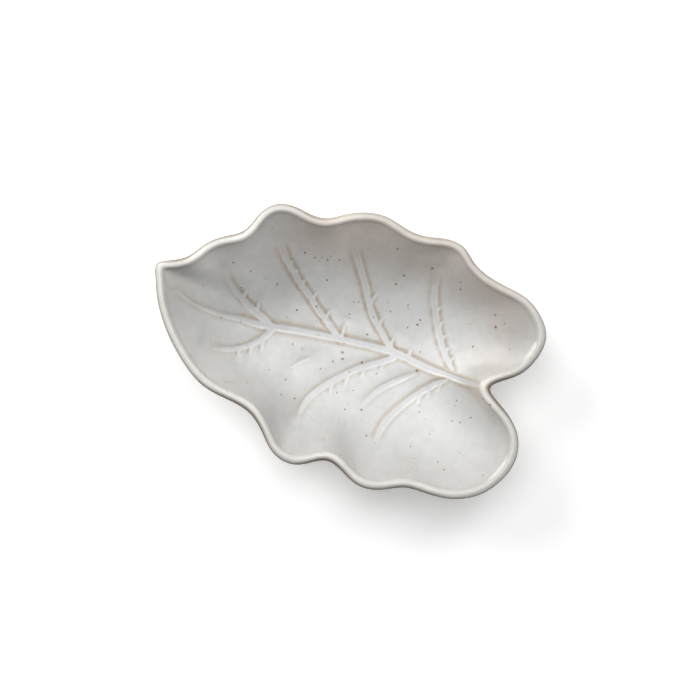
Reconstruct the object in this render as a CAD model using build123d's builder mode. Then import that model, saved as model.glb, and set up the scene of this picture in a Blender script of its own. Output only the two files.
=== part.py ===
# Leaf-shaped ring dish in glazed stoneware.
# A pressed clay leaf with impressed veins stands on a low foot ring. A thin coat of glaze covers it down
# to a line above the foot, and thicker glaze has pooled in the veins.
# The origin is on the table under the middle of the dish, +X runs from the leaf's tip to its stalk notch,
# +Y to the left of that seen from above, and +Z up. Lengths are in millimetres and angles in degrees.
import math
import os

from build123d import *

# Fired size of the dish
leaf_length = 150.0
leaf_width = 98.4
dish_height = 27.0

# Thickness of the wall and of the floor, glaze included
wall_thickness = 3.5
floor_thickness = 4.4

# Height lost by the lip where the leaf's edge swells outward
rim_wave = 1.3

# Foot ring
foot_height = 2.2
foot_width = 4.2
foot_inset = 1.2
foot_draft = 0.5
foot_edge_radius = 0.7

# Glaze coat, and the bare clay between its lower edge and the foot
glaze_thickness = 0.35
bare_height = 0.9
bare_slant = 0.5

# Veins: width of the midrib, width of a barb at its vein and at its tip, depth pressed into the clay,
# and depth that is left above the pooled glaze
midrib_width = 2.5
barb_width = 1.2
barb_tip_width = 0.5
clay_groove_depth = 0.9
open_groove_depth = 0.6

# How far a cutter runs past what it cuts
overrun = 5.0

# Outer edge of the lip seen from above, from the leaf's tip round the +Y side to the notch and back.
# Each point is a share of the length and a share of the width, from the middle of the dish.
rim_shares = (
    (-0.499, 0.036), (-0.475, 0.063), (-0.428, 0.112), (-0.402, 0.170), (-0.369, 0.217),
    (-0.329, 0.259), (-0.313, 0.300), (-0.298, 0.360), (-0.272, 0.402), (-0.228, 0.418),
    (-0.185, 0.411), (-0.144, 0.417), (-0.103, 0.454), (-0.059, 0.487), (-0.009, 0.500),
    (0.038, 0.487), (0.080, 0.478), (0.125, 0.488), (0.166, 0.500), (0.203, 0.490),
    (0.231, 0.458), (0.276, 0.423), (0.333, 0.406), (0.389, 0.391), (0.436, 0.348),
    (0.468, 0.278), (0.465, 0.192), (0.436, 0.108), (0.397, 0.059), (0.381, 0.025),
    (0.403, -0.007), (0.443, -0.044), (0.481, -0.099), (0.500, -0.184), (0.486, -0.280),
    (0.444, -0.367), (0.380, -0.418), (0.317, -0.429), (0.262, -0.438), (0.206, -0.479),
    (0.159, -0.489), (0.107, -0.460), (0.064, -0.442), (0.028, -0.468), (-0.012, -0.498),
    (-0.059, -0.490), (-0.110, -0.427), (-0.160, -0.371), (-0.228, -0.352), (-0.286, -0.337),
    (-0.356, -0.276), (-0.418, -0.190), (-0.467, -0.090), (-0.492, -0.009),
)

# Shape of the bowl: the flat floor's size as a share of the rim's, the power with which the wall climbs,
# the power with which the lip's waves grow up the wall, where the foot of the outside wall stands as a
# share of the way from the floor's edge to the lip, and the number of rings and of runs in a ring that
# carry its surface
floor_share = 0.20
climb_power = 1.75
wave_power = 4.0
base_share = 0.32
smoothing_passes = 10
inside_bands = 8
outside_bands = 5
outside_end_share = 0.46
ring_runs = 4
lip_angles = (0, 45, 90, 135, 180)

# Centre line of each vein, from its root. Each point has its share of the length, its share of the
# width, and the vein's width there as a share of the midrib's.
vein_shares = {
    "midrib": (
        (0.341, 0.019, 0.75), (0.275, 0.021, 1.00), (0.195, 0.028, 1.05), (0.117, 0.037, 1.05),
        (-0.004, 0.016, 1.00), (-0.115, -0.012, 1.00), (-0.188, -0.035, 1.05),
    ),
    "tip_vein": (
        (-0.175, -0.032, 1.00), (-0.244, -0.052, 0.75), (-0.302, -0.062, 0.60), (-0.392, -0.040, 0.45),
        (-0.446, -0.010, 0.30),
    ),
    "upper_vein_1": (
        (-0.175, -0.035, 0.80), (-0.229, -0.006, 0.80), (-0.273, 0.034, 0.75), (-0.305, 0.069, 0.60),
        (-0.328, 0.100, 0.35),
    ),
    "upper_vein_2": (
        (0.000, 0.022, 0.90), (-0.049, 0.063, 0.95), (-0.109, 0.117, 0.95), (-0.169, 0.192, 0.85),
        (-0.231, 0.265, 0.40),
    ),
    "upper_vein_3": (
        (0.127, 0.040, 0.90), (0.081, 0.090, 0.90), (0.045, 0.142, 0.95), (0.007, 0.222, 0.95),
        (-0.047, 0.351, 0.40),
    ),
    "upper_vein_4": (
        (0.272, 0.050, 0.50), (0.244, 0.085, 0.85), (0.207, 0.153, 0.85), (0.178, 0.252, 0.95),
        (0.162, 0.363, 0.45),
    ),
    "lower_vein_1": (
        (-0.180, -0.040, 0.85), (-0.196, -0.091, 0.85), (-0.214, -0.137, 0.85), (-0.257, -0.177, 0.75),
        (-0.309, -0.189, 0.35),
    ),
    "lower_vein_2": (
        (-0.102, -0.166, 0.30), (-0.089, -0.132, 0.50), (-0.072, -0.104, 0.50), (-0.042, -0.077, 0.30),
    ),
    "lower_vein_3": (
        (0.122, 0.020, 0.80), (0.076, -0.044, 0.85), (0.031, -0.109, 1.00), (-0.012, -0.192, 1.00),
        (-0.040, -0.284, 0.70), (-0.043, -0.358, 0.30),
    ),
    "lower_vein_4": (
        (0.200, -0.018, 0.45), (0.162, -0.052, 0.95), (0.127, -0.104, 1.00), (0.101, -0.162, 0.90),
        (0.089, -0.220, 0.45),
    ),
    "lower_vein_5": (
        (0.258, -0.016, 0.50), (0.229, -0.071, 0.80), (0.196, -0.149, 0.85), (0.166, -0.246, 0.85),
        (0.160, -0.329, 0.40),
    ),
}

# Barbs of each vein: where each leaves it, as a share of the vein's length, and the point where it ends,
# as a share of the dish's length and a share of its width
barb_shares = {
    "midrib": (
        (0.33, (0.156, 0.072)), (0.51, (0.076, -0.002)), (0.65, (-0.012, 0.073)),
    ),
    "upper_vein_1": (
        (0.33, (-0.224, 0.033)), (0.50, (-0.257, 0.041)), (0.63, (-0.278, 0.065)),
    ),
    "upper_vein_2": (
        (0.22, (-0.060, 0.101)), (0.43, (-0.104, 0.148)), (0.61, (-0.143, 0.182)),
        (0.78, (-0.177, 0.219)),
    ),
    "upper_vein_3": (
        (0.06, (0.114, 0.087)), (0.27, (0.070, 0.144)), (0.45, (0.037, 0.208)),
    ),
    "upper_vein_4": (
        (0.03, (0.268, 0.101)), (0.16, (0.247, 0.121)), (0.35, (0.221, 0.166)),
        (0.52, (0.202, 0.220)), (0.63, (0.192, 0.260)),
    ),
    "lower_vein_1": (
        (0.28, (-0.186, -0.142)), (0.42, (-0.210, -0.169)), (0.60, (-0.240, -0.187)),
    ),
    "lower_vein_3": (
        (0.10, (0.108, -0.050)), (0.26, (0.072, -0.099)), (0.42, (0.035, -0.156)),
        (0.55, (0.011, -0.200)),
    ),
    "lower_vein_5": (
        (0.02, (0.260, -0.047)), (0.13, (0.240, -0.091)), (0.30, (0.219, -0.124)),
        (0.43, (0.198, -0.170)),
    ),
}

os.makedirs("parts", exist_ok=True)


def plan_point(share):
    """Point of the plan at a share of the length and a share of the width."""
    return Vector(share[0] * leaf_length, share[1] * leaf_width)


def smoothed(points, passes):
    """Points of a closed outline with its waves averaged out."""
    for _ in range(passes):
        following = points[1:] + points[:1]
        points = [(points[i - 1] + points[i] * 2 + following[i]) * 0.25 for i in range(len(points))]
    return points


def mitred_normals(points):
    """Outward directions at the points of a closed clockwise outline, longer at a sharp turn."""
    normals = []
    following = points[1:] + points[:1]
    for i, point in enumerate(points):
        arriving = (point - points[i - 1]).normalized()
        leaving = (following[i] - point).normalized()
        along = (arriving + leaving).normalized()
        normals.append(Vector(-along.Y, along.X) / along.dot(arriving))
    return normals


# The lip's centre line and the edge of the flat floor, point for point
lip_radius = wall_thickness / 2
floor_height = foot_height + floor_thickness
rim_points = [plan_point(share) for share in rim_shares]
rim_normals = mitred_normals(rim_points)
lip_points = [point - normal * lip_radius for point, normal in zip(rim_points, rim_normals)]
even_points = smoothed(lip_points, smoothing_passes)
even_normals = mitred_normals(even_points)
floor_points = [point * floor_share for point in even_points]

# The lip dips where the edge swells outward past its even run, and stands highest where it draws in
swells = [
    (point - even).dot(normal) for point, even, normal in zip(lip_points, even_points, rim_normals)
]
largest_swell = max(abs(swell) for swell in swells)
lip_heights = [
    dish_height - lip_radius - rim_wave * (1 + swell / largest_swell) / 2 for swell in swells
]
profiles = list(zip(floor_points, even_points, lip_points, even_normals, rim_normals, lip_heights))

# Spacing of the points round the lip. All rings carry it, so that their curves match from ring to ring
spacings = [(after - point).length for point, after in zip(lip_points, lip_points[1:] + lip_points[:1])]
ring_stations = [sum(spacings[:i]) for i in range(len(spacings) + 1)]
ring_breaks = [round(len(spacings) * i / ring_runs) for i in range(ring_runs + 1)]


def wall_plan(profile, share):
    """Plan point of the wall, and its direction outward, at a share of the way up."""
    floor_point, even_point, lip_point, even_normal, rim_normal, _ = profile
    wave_share = share ** (wave_power - 1)
    point = floor_point + (even_point - floor_point) * share
    point += (lip_point - even_point) * (wave_share * share)
    return point, even_normal * (1 - wave_share) + rim_normal * wave_share


def wall_slope(profile, share):
    """Angle of the wall above the horizontal, at a share of the way up."""
    floor_point, even_point, lip_point, _, _, lip_height = profile
    wave_run = (lip_point - even_point) * (wave_power * share ** (wave_power - 1))
    run = (even_point - floor_point + wave_run).dot(wall_plan(profile, share)[1].normalized())
    return math.atan2((lip_height - floor_height) * climb_power * share ** (climb_power - 1), run)


def wall_ring(share, depth):
    """Points round the wall at a share of the way up, at a depth under the inside surface."""
    points = []
    for profile in profiles:
        point, side = wall_plan(profile, share)
        slope = wall_slope(profile, share)
        outward = side * math.sin(slope) - Vector(0, 0, math.cos(slope))
        rise = profile[-1] - floor_height
        level = Vector(0, 0, floor_height + rise * share**climb_power)
        points.append(point + level + outward * (depth - lip_radius * share))
    return points


def lip_ring(angle, radius):
    """Points round the rolled lip, from its inner side at 0 over the top to its outer side at 180."""
    points = []
    for profile in profiles:
        turn = wall_slope(profile, 1) + math.radians(90 - angle)
        point, side = wall_plan(profile, 1)
        centre = point + Vector(0, 0, profile[-1])
        points.append(centre + (side * math.cos(turn) + Vector(0, 0, math.sin(turn))) * radius)
    return points


def flat_ring(share, inset, height):
    """Points at one height, at a share of the way from the floor's edge to the lip, less an inset."""
    points = []
    for profile in profiles:
        point, _ = wall_plan(profile, share)
        points.append(point - point.normalized() * inset + Vector(0, 0, height))
    return points


def ring_slope(points, i):
    """Change of a closed smooth curve at one of its points, per length of the spacing."""
    before = spacings[i - 1]
    after = spacings[i]
    arriving = (points[i] - points[i - 1]) * (after / before)
    leaving = (points[(i + 1) % len(points)] - points[i]) * (before / after)
    return (arriving + leaving) / (before + after)


def ring_wire(points):
    """Smooth closed curve through the points, in a few runs."""
    closed_points = points + points[:1]
    edges = []
    for first, last in zip(ring_breaks, ring_breaks[1:]):
        edges.append(
            Edge.make_spline(
                closed_points[first : last + 1],
                tangents=[ring_slope(points, first), ring_slope(points, last % len(points))],
                parameters=ring_stations[first : last + 1],
                scale=False,
            )
        )
    return Wire(edges)


def band(rings, ruled=False):
    """Surface through a series of rings."""
    return Shell.make_loft([ring_wire(points) for points in rings], ruled).faces()


def disc(points):
    """Flat face inside a level ring."""
    return [Face(ring_wire(points))]


def closed_solid(*face_lists):
    """Solid inside faces that meet edge to edge."""
    return Solid(Shell([face for faces in face_lists for face in faces]))


def inside_rings(inset):
    """Rings of the bowl's inside, from the floor's edge to the lip."""
    wall = [wall_ring(step / inside_bands, inset) for step in range(1, inside_bands + 1)]
    return [flat_ring(0, 0, floor_height - inset)] + wall


def outside_rings(inset):
    """Rings of the bowl's outside, from the lip down to the glaze line."""
    step_share = (1 - outside_end_share) / outside_bands
    wall = [wall_ring(1 - step * step_share, wall_thickness - inset) for step in range(outside_bands + 1)]
    return wall + [flat_ring(base_share, inset, foot_height + bare_height)]


def leaf_skin(inset):
    """Inside, lip and outside of the leaf, at an inset under the glazed surface."""
    lip = [lip_ring(angle, lip_radius - inset) for angle in lip_angles]
    return band(inside_rings(inset)) + band(lip) + band(outside_rings(inset))


def hollow(inset, drop):
    """Space over the bowl's inside at an inset, moved down by a drop."""
    rings = inside_rings(inset)
    top = [Vector(point.X, point.Y, dish_height + overrun) for point in rings[-1]]
    solid = closed_solid(disc(rings[0]), band(rings), band([rings[-1], top], ruled=True), disc(top))
    return solid.moved(Location((0, 0, -drop)))


def strip_outline(centres, half_widths):
    """Tapered strip along a curve through the centres, with round ends."""
    path = Spline(*centres)
    sides = []
    for centre, half_width in zip(centres, half_widths):
        along = path.tangent_at(path.param_at_point(centre))
        sides.append(Vector(-along.Y, along.X) * half_width)
    left = [centre + side for centre, side in zip(centres, sides)]
    right = [centre - side for centre, side in zip(centres, sides)]
    first_end = centres[0] - path.tangent_at(0) * half_widths[0]
    last_end = centres[-1] + path.tangent_at(1) * half_widths[-1]
    with BuildSketch() as outline:
        with BuildLine():
            Spline(*left)
            ThreePointArc(left[-1], last_end, right[-1])
            Spline(*right)
            ThreePointArc(left[0], first_end, right[0])
        make_face()
    return outline.sketch


# Plan of all the veins and their barbs
vein_outlines = []
for name, vein in vein_shares.items():
    vein_centres = [plan_point(share) for share in vein]
    vein_outlines.append(strip_outline(vein_centres, [share[2] * midrib_width / 2 for share in vein]))
    for root_share, tip_share in barb_shares.get(name, ()):
        barb_centres = [Spline(*vein_centres).position_at(root_share), plan_point(tip_share)]
        vein_outlines.append(strip_outline(barb_centres, [barb_width / 2, barb_tip_width / 2]))
with BuildSketch() as vein_plan:
    add(vein_outlines)

# Grooves pressed into the clay, open at the top
clay_hollow = hollow(glaze_thickness, clay_groove_depth)
with BuildPart() as grooves:
    add(vein_plan.sketch)
    extrude(amount=dish_height)
    add(clay_hollow, mode=Mode.INTERSECT)

# Clay leaf: inside, lip, glazed outside, bare band and flat base, less the grooves
clay_surface = leaf_skin(glaze_thickness)
clay_floor = disc(inside_rings(glaze_thickness)[0])
clay_glaze_line = outside_rings(glaze_thickness)[-1]
clay_base = flat_ring(base_share, glaze_thickness + bare_slant, foot_height)
bare_band = band([clay_glaze_line, clay_base], ruled=True)
with BuildPart() as clay_body:
    add(closed_solid(clay_floor, clay_surface, bare_band, disc(clay_base)))
    add(grooves.part, mode=Mode.SUBTRACT)
clay_body.part.label = "clay_body"

# Glaze coat: the skin between the clay and the glazed surface, open over the veins
glaze_floor = disc(inside_rings(0)[0])
glaze_edge = band([outside_rings(0)[-1], clay_glaze_line], ruled=True)
with BuildPart() as glaze_coat:
    add(closed_solid(glaze_floor, leaf_skin(0), glaze_edge, clay_surface, clay_floor))
    add(grooves.part, mode=Mode.SUBTRACT)
glaze_coat.part.label = "glaze_coat"

# Glaze pooled in the grooves, to a level that leaves them open to their visible depth
with BuildPart() as vein_glaze:
    add(grooves.part)
    add(hollow(0, open_groove_depth), mode=Mode.SUBTRACT)
vein_glaze.part.label = "vein_glaze"

# Foot ring under the base, with slanted sides and softened lower edges
base_inset = glaze_thickness + bare_slant + foot_inset
foot_rings = []
for side_inset, draft in ((base_inset, foot_draft), (base_inset + foot_width, -foot_draft)):
    upper = flat_ring(base_share, side_inset, foot_height)
    lower = flat_ring(base_share, side_inset + draft, 0)
    foot_rings.append(closed_solid(disc(lower), band([lower, upper], ruled=True), disc(upper)))
with BuildPart() as foot_ring:
    add(foot_rings[0])
    add(foot_rings[1], mode=Mode.SUBTRACT)
    fillet(foot_ring.faces().sort_by(Axis.Z)[0].edges(), foot_edge_radius)
foot_ring.part.label = "foot_ring"

export_step(clay_body.part, "parts/clay_body.step")
export_step(foot_ring.part, "parts/foot_ring.step")
export_step(glaze_coat.part, "parts/glaze_coat.step")
export_step(vein_glaze.part, "parts/vein_glaze.step")
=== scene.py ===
import math

import bpy
import numpy as np
from mathutils import Matrix, Vector, geometry, kdtree, noise


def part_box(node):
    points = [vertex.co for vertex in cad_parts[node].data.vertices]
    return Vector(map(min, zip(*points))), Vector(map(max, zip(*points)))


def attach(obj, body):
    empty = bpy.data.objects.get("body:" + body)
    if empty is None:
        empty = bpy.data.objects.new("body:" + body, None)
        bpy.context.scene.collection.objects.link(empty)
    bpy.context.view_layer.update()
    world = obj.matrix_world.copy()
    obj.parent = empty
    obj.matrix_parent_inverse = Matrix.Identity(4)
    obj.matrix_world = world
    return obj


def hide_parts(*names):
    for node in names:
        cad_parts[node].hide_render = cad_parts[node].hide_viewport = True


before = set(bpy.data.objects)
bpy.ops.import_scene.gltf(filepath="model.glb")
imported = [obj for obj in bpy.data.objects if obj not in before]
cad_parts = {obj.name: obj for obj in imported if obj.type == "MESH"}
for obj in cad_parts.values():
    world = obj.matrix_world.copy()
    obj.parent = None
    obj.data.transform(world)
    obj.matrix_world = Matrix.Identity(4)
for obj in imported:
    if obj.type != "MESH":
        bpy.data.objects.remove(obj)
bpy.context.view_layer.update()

mm = 0.001

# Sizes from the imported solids
coat_low, coat_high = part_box("glaze_coat")
leaf_length = coat_high.x - coat_low.x
leaf_width = coat_high.y - coat_low.y
dish_height = coat_high.z
base_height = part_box("foot_ring")[1].z
glaze_line_height = coat_low.z

# The lip's radius, the bowl's thickness at its floor, and how much the lip drops where the edge swells out
lip_radius = 1.75 * mm
floor_thickness = 4.4 * mm
rim_wave = 1.3 * mm

# Glaze: thickness of the coat, depth of a vein's groove and of the glaze pooled below it, how far the
# groove's soft shoulder reaches out of the vein and into it, how far in the pool gets its full depth, the
# thinnest pool, how high the ground swells between the veins, the height and spread of its unevenness, and
# the stretch below the lip over which both die away
coat_thickness = 0.30 * mm
groove_depth = 0.28 * mm
pool_depth = 0.20 * mm
shoulder_outside = 0.35 * mm
shoulder_inside = 0.80 * mm
pool_slope = 0.70 * mm
thinnest_pool = 0.02 * mm
cushion_height = 0.25 * mm
cushion_reach = 4.5 * mm
hand_wave_height = 0.20 * mm
hand_wave_length = 12.0 * mm
calm_from = -8 * mm
calm_to = -1 * mm

# Bead on the lip's inner side: its height, and where it starts, is highest and ends, past the inner corner
bead_height = 0.17 * mm
bead_start = -1.3 * mm
bead_top = -0.1 * mm
bead_end = 1.2 * mm

# Barbs: their widths at the vein and at their ends. Ends of veins and barbs: how deep each is at its very
# end as a share of the groove's depth, and how far it takes to reach its full depth.
barb_width = 2.0 * mm
barb_tip_width = 1.2 * mm
free_end_depth_share = 0.0
barb_end_depth_share = 0.25
end_fade = 6.0 * mm
barb_fade = 1.2 * mm

# Brown break beside a vein: its full strength starts this far from the vein's edge, it has faded away this
# far off at the vein's root and at its tip, and it weakens by this share and over this length at the tip.
# Then the share of a barb's break that is left on the side of its vein's root, and the shares of a barb's
# length between which its break dies away.
break_start = 0.35 * mm
break_reach = 1.45 * mm
break_tip_reach = 2.4 * mm
tip_fade_share = 0.15
break_fade = 3.5 * mm
barb_root_side_share = 0.75
barb_break_end_shares = (0.5, 1.0)

# Wedge of brown: its soft edge, its width where it starts, and the shares of its length, measured from its
# end, between which it fades out
wedge_softness = 0.55 * mm
wedge_root_px = 1.0
wedge_end_shares = (-0.1, 0.7)

# Outer edge of the lip seen from above, from the leaf's tip round the +Y side to the notch and back. Each
# point is in thousandths of the length and of the width, from the middle of the dish.
rim_thousandths = (
    (-499, 36), (-475, 63), (-428, 112), (-402, 170), (-369, 217), (-329, 259), (-313, 300), (-298, 360),
    (-272, 402), (-228, 418), (-185, 411), (-144, 417), (-103, 454), (-59, 487), (-9, 500), (38, 487),
    (80, 478), (125, 488), (166, 500), (203, 490), (231, 458), (276, 423), (333, 406), (389, 391),
    (436, 348), (468, 278), (465, 192), (436, 108), (397, 59), (381, 25), (403, -7), (443, -44),
    (481, -99), (500, -184), (486, -280), (444, -367), (380, -418), (317, -429), (262, -438), (206, -479),
    (159, -489), (107, -460), (64, -442), (28, -468), (-12, -498), (-59, -490), (-110, -427),
    (-160, -371), (-228, -352), (-286, -337), (-356, -276), (-418, -190), (-467, -90), (-492, -9),
)

# Shape of the bowl: the flat floor's size as a share of the rim's, the power with which the wall climbs,
# the power with which the lip's waves grow up the wall, where the foot of the outside wall and the end of
# its curve stand, as shares of the way from the floor's edge to the lip, and how often the lip's run is
# evened out
floor_share = 0.20
climb_power = 1.75
wave_power = 4.0
base_share = 0.32
outside_end_share = 0.46
smoothing_passes = 10

# The photograph's frame: its width, the pixel of the dish's middle, the dish's length in pixels, the
# camera's angles, distance and sensor, the size of a pixel, and the photograph's right and up in the plan
photo_width_px = 700
dish_middle_px = (343.0, 341.5)
dish_length_px = 406.0
camera_azimuth = 20.0
camera_elevation = 88.0
camera_distance = 0.90
sensor_width_mm = 36
pixel_size = leaf_length / dish_length_px
turn = math.radians(camera_azimuth)
photo_right = np.array([math.cos(turn), math.sin(turn)])
photo_up = np.array([-math.sin(turn), math.cos(turn)])

# Centre line of each vein, from its root: pixels of the photograph, with the vein's width in pixels
vein_pixels = {
    "midrib": (
        (478, 386, 5), (462, 380.5, 6.5), (450, 376, 6.5), (430, 368.8, 8), (415, 362, 8.5),
        (400, 354.5, 9), (385, 349.5, 8.5), (370, 345.5, 8), (350, 341, 7.8), (320, 334.7, 8),
        (300, 330.8, 8), (280, 327.5, 7.8), (268, 325.5, 7.5),
    ),
    "tip_vein": (
        (270, 326, 7.5), (256, 323.5, 7.5), (240, 318.5, 6.5), (220, 314, 5.5), (200, 306.5, 4.5),
        (185, 297.5, 4), (173, 286, 3.5), (167, 276, 3),
    ),
    "upper_vein_1": (
        (272, 327, 8), (262, 317, 8.5), (250, 307, 8), (241, 297, 7), (234, 288, 6), (229, 280, 5),
        (225, 271, 4),
    ),
    "upper_vein_2": (
        (341, 340, 7.2), (331, 327, 7.4), (322.7, 315.3, 7.4), (316.3, 307, 7), (311, 298, 7.4),
        (304.7, 289, 7), (299, 281, 7), (294, 272, 7.4), (287, 260.5, 7.4), (282.5, 249, 7.5),
        (279.5, 241, 6),
    ),
    "upper_vein_3": (
        (392, 350, 7.2), (386, 340, 7.2), (379.5, 328, 7), (374.5, 319, 7), (370.5, 309, 7),
        (368, 299.5, 7), (366, 287.5, 7.4), (362.7, 275.5, 7.4), (359.2, 263, 7.4), (356.3, 253.5, 7.5),
        (354.5, 246, 6),
    ),
    "upper_vein_4": (
        (452, 369, 6), (447.5, 360, 7.5), (443.5, 350, 7.5), (440.5, 340, 7.5), (438.3, 330, 7.5),
        (436.5, 320, 7.5), (435, 310, 7.5), (434, 300, 7.5), (434.3, 290, 7.5), (436, 280, 7),
        (439, 272, 5),
    ),
    "lower_vein_1": (
        (272, 329, 7.5), (264, 336.5, 7.5), (255, 342.5, 7.2), (245, 346.3, 6.8), (235, 348.5, 6.5),
        (225, 349, 6.2), (215, 347.7, 5.5), (206, 345, 4),
    ),
    "lower_vein_2": ((291, 368, 3), (298, 362.5, 4.5), (308, 358.5, 4.5), (318, 356.5, 3)),
    "lower_vein_3": (
        (394, 357, 7), (384, 360.5, 7.5), (372, 364, 7.8), (360, 367.5, 8), (350, 371.5, 8),
        (340, 376.5, 8), (330, 382, 8), (320, 388, 7.8), (311, 395, 7.5), (304, 403, 7), (299, 412, 6),
        (296, 422, 4.5),
    ),
    "lower_vein_4": (
        (416, 373.5, 3.5), (405, 377, 6), (393, 382, 7), (382, 387.5, 7), (373, 394, 6.8), (366, 401, 6),
        (360.5, 409, 4),
    ),
    "lower_vein_5": (
        (447, 379.5, 4), (438, 382.5, 6.5), (428, 387.5, 7.2), (418, 393.5, 7.2), (408, 400.5, 7.2),
        (399, 408, 7.2), (390.5, 416, 7.2), (383.5, 424.5, 7), (378.5, 433.5, 6.5), (375.5, 443, 5),
    ),
}

# Barbs of each vein: pixels of the photograph where each leaves the vein's middle and where it ends
barb_pixels = {
    "midrib": ((341, 340, 344.5, 322), (390, 350, 393.5, 335), (408, 358, 411.5, 346)),
    "upper_vein_1": ((257, 312, 258.5, 299.5), (242, 298, 246.5, 289)),
    "upper_vein_2": (
        (325, 320, 329.5, 308.5), (312, 301, 316.8, 290), (301, 286, 305.5, 277.5),
        (294, 273, 299.5, 268), (289, 264, 294, 259),
    ),
    "upper_vein_3": ((378, 328, 382.5, 315.5), (369, 305, 376.8, 291.5)),
    "upper_vein_4": (
        (435, 313, 441.5, 304.5), (437.5, 328, 444, 319), (440.5, 342, 446.5, 333),
        (444.5, 353, 450, 345), (449, 364, 454.5, 355),
    ),
    "lower_vein_1": ((262, 340, 260.5, 351), (251, 345.5, 248.5, 355), (239, 348, 237, 356.5)),
    "lower_vein_3": (
        (383, 361, 380, 371), (364, 367.5, 360, 378), (348, 373.5, 343, 388), (332, 382.5, 328.5, 395),
    ),
    "lower_vein_5": ((440, 382.5, 437, 392.5), (430, 387, 427, 398), (420, 393, 416, 404)),
}

# Wedges of brown where veins part, and wide brown shades beside some veins: pixels of the photograph
# where each starts and ends, its width at the end in pixels and its strength
wedge_pixels = (
    (258, 319.5, 236, 310.5, 7, 0.65), (265, 330.5, 249, 329, 5, 0.65), (388, 345, 372, 341, 3, 0.55),
    (389, 356, 368, 354.5, 3.5, 0.45), (328, 330, 318, 321, 3, 0.45), (446, 378.5, 430, 380.5, 3, 0.6),
    (445.5, 344.5, 443.5, 336, 3, 0.5), (456, 384, 478, 392, 6, 0.45), (292, 283, 277, 254, 5, 0.35),
    (357, 278, 352, 258, 4.5, 0.4), (256, 305, 246, 296, 4, 0.45), (303, 278, 288, 246, 3.5, 0.25),
    (461, 379, 514, 433, 20, 0.5),
)

# How strongly the glaze breaks to brown beside each vein, on its left and on its right from root to tip,
# and the depth of the vein's root as a share of the groove's depth
vein_finish_shares = {
    "midrib": (0.60, 0.90, 0.8),
    "tip_vein": (0.35, 0.35, 1.0),
    "upper_vein_1": (0.30, 0.75, 1.0),
    "upper_vein_2": (0.80, 0.85, 1.0),
    "upper_vein_3": (0.85, 0.85, 1.0),
    "upper_vein_4": (0.45, 0.75, 0.9),
    "lower_vein_1": (0.35, 0.45, 1.0),
    "lower_vein_2": (0.15, 0.10, 0.3),
    "lower_vein_3": (0.35, 0.50, 1.0),
    "lower_vein_4": (0.30, 0.40, 0.3),
    "lower_vein_5": (0.40, 0.70, 0.8),
}

# Patches of painted light and shade on the glaze, set to the photograph's tones: the pixel of each, its
# reach in pixels and the share by which it lightens or darkens the glaze
painted_light_shade_pixels = (
    (344, 233, 22, 0.36), (250, 250, 22, 0.36), (204, 262, 15, 0.30), (286, 284, 25, -0.14),
    (452, 278, 22, -0.16), (229, 308, 25, -0.15), (212, 276, 14, 0.09), (470, 368, 22, -0.08),
    (490, 394, 14, 0.30), (292, 316, 14, 0.06), (441, 321, 16, 0.06), (350, 361, 16, 0.05),
    (292, 251, 20, 0.06), (228, 262, 18, 0.05), (482, 402, 10, 0.10), (458, 474, 22, 0.05),
    (390, 391, 20, -0.05), (392, 244, 14, -0.06), (520, 352, 14, -0.06), (180, 308, 18, -0.08),
    (516, 334, 22, -0.14), (352, 430, 22, -0.08), (302, 312, 14, 0.10), (424, 252, 12, 0.12),
    (252, 300, 16, -0.07), (288, 350, 14, 0.06),
)

# The larger iron specks in the glaze, as pixels of the photograph, with each one's width in pixels
speck_pixels = (
    (342.5, 352.5, 3), (342.6, 358.8, 2.6), (361.4, 409.8, 2.6), (316.6, 306.3, 2.2), (182, 257, 2),
    (483, 399, 2.4), (490, 405, 2.4), (296.6, 310, 2.4), (250.5, 271, 1.8), (232.8, 262, 1.8),
    (277, 284, 2.2), (221.4, 318, 1.8), (240.8, 321.5, 1.4), (305, 252, 2.2), (315, 257, 1.8),
    (322, 256.5, 1.6), (327.6, 259, 2), (339.6, 259.5, 1.8), (327, 279.5, 2.2), (398, 248.5, 2),
    (404, 275, 2.2), (396.3, 283.7, 2.4), (353.7, 302, 1.8), (358.8, 302, 1.8), (349.5, 314, 1.8),
    (349.5, 318, 1.6), (373.4, 317.4, 1.6), (390.5, 311.5, 1.8), (408, 305, 1.8), (420.5, 319.8, 2),
    (417.7, 324.4, 2.6), (408, 327.4, 1.8), (367.3, 334.6, 2), (432.5, 268, 2.6), (461, 289, 2.2),
    (461, 282, 1.6), (495.7, 314.8, 2.2), (496, 327, 2.8), (473.2, 347, 2.4), (292.4, 344.4, 1.8),
    (302, 349, 1.4), (333, 361.5, 2), (320.4, 368.8, 1.6), (285.5, 380, 2), (362, 362.5, 2.4),
    (376.6, 373.5, 2), (349.3, 371.7, 1.8), (336.8, 392.6, 1.8), (353.2, 390.5, 1.4), (348.4, 404, 1.4),
    (344.8, 409.8, 1.8), (294.2, 399, 1.8), (366, 436, 2), (420, 352, 1.8), (417, 370.6, 3),
    (456.8, 400.5, 1.8), (419.8, 405.8, 1.6), (419.6, 412.2, 1.6), (425.5, 419.3, 1.4), (452.4, 421, 1.6),
    (410.4, 447, 1.6), (269, 370, 1.6), (281, 395, 1.6), (460.5, 422.5, 2), (471, 417.5, 1.8),
    (437.5, 462, 1.8), (443.8, 470, 1.8), (500, 432.5, 1.6), (527.6, 328, 1.8), (525.5, 336.5, 1.6),
    (510, 349, 1.8), (505, 323.5, 1.6), (226.5, 391.5, 2), (374.5, 443.5, 1.4), (310, 254, 1.2),
    (318.5, 260, 1.1), (331, 256, 1), (238, 284, 1.3), (241, 287.5, 1.8), (243.5, 283, 1.2),
    (240, 290.5, 1.2), (445, 245, 1.2), (449.5, 247, 1), (197, 262, 1.2),
)

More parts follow.
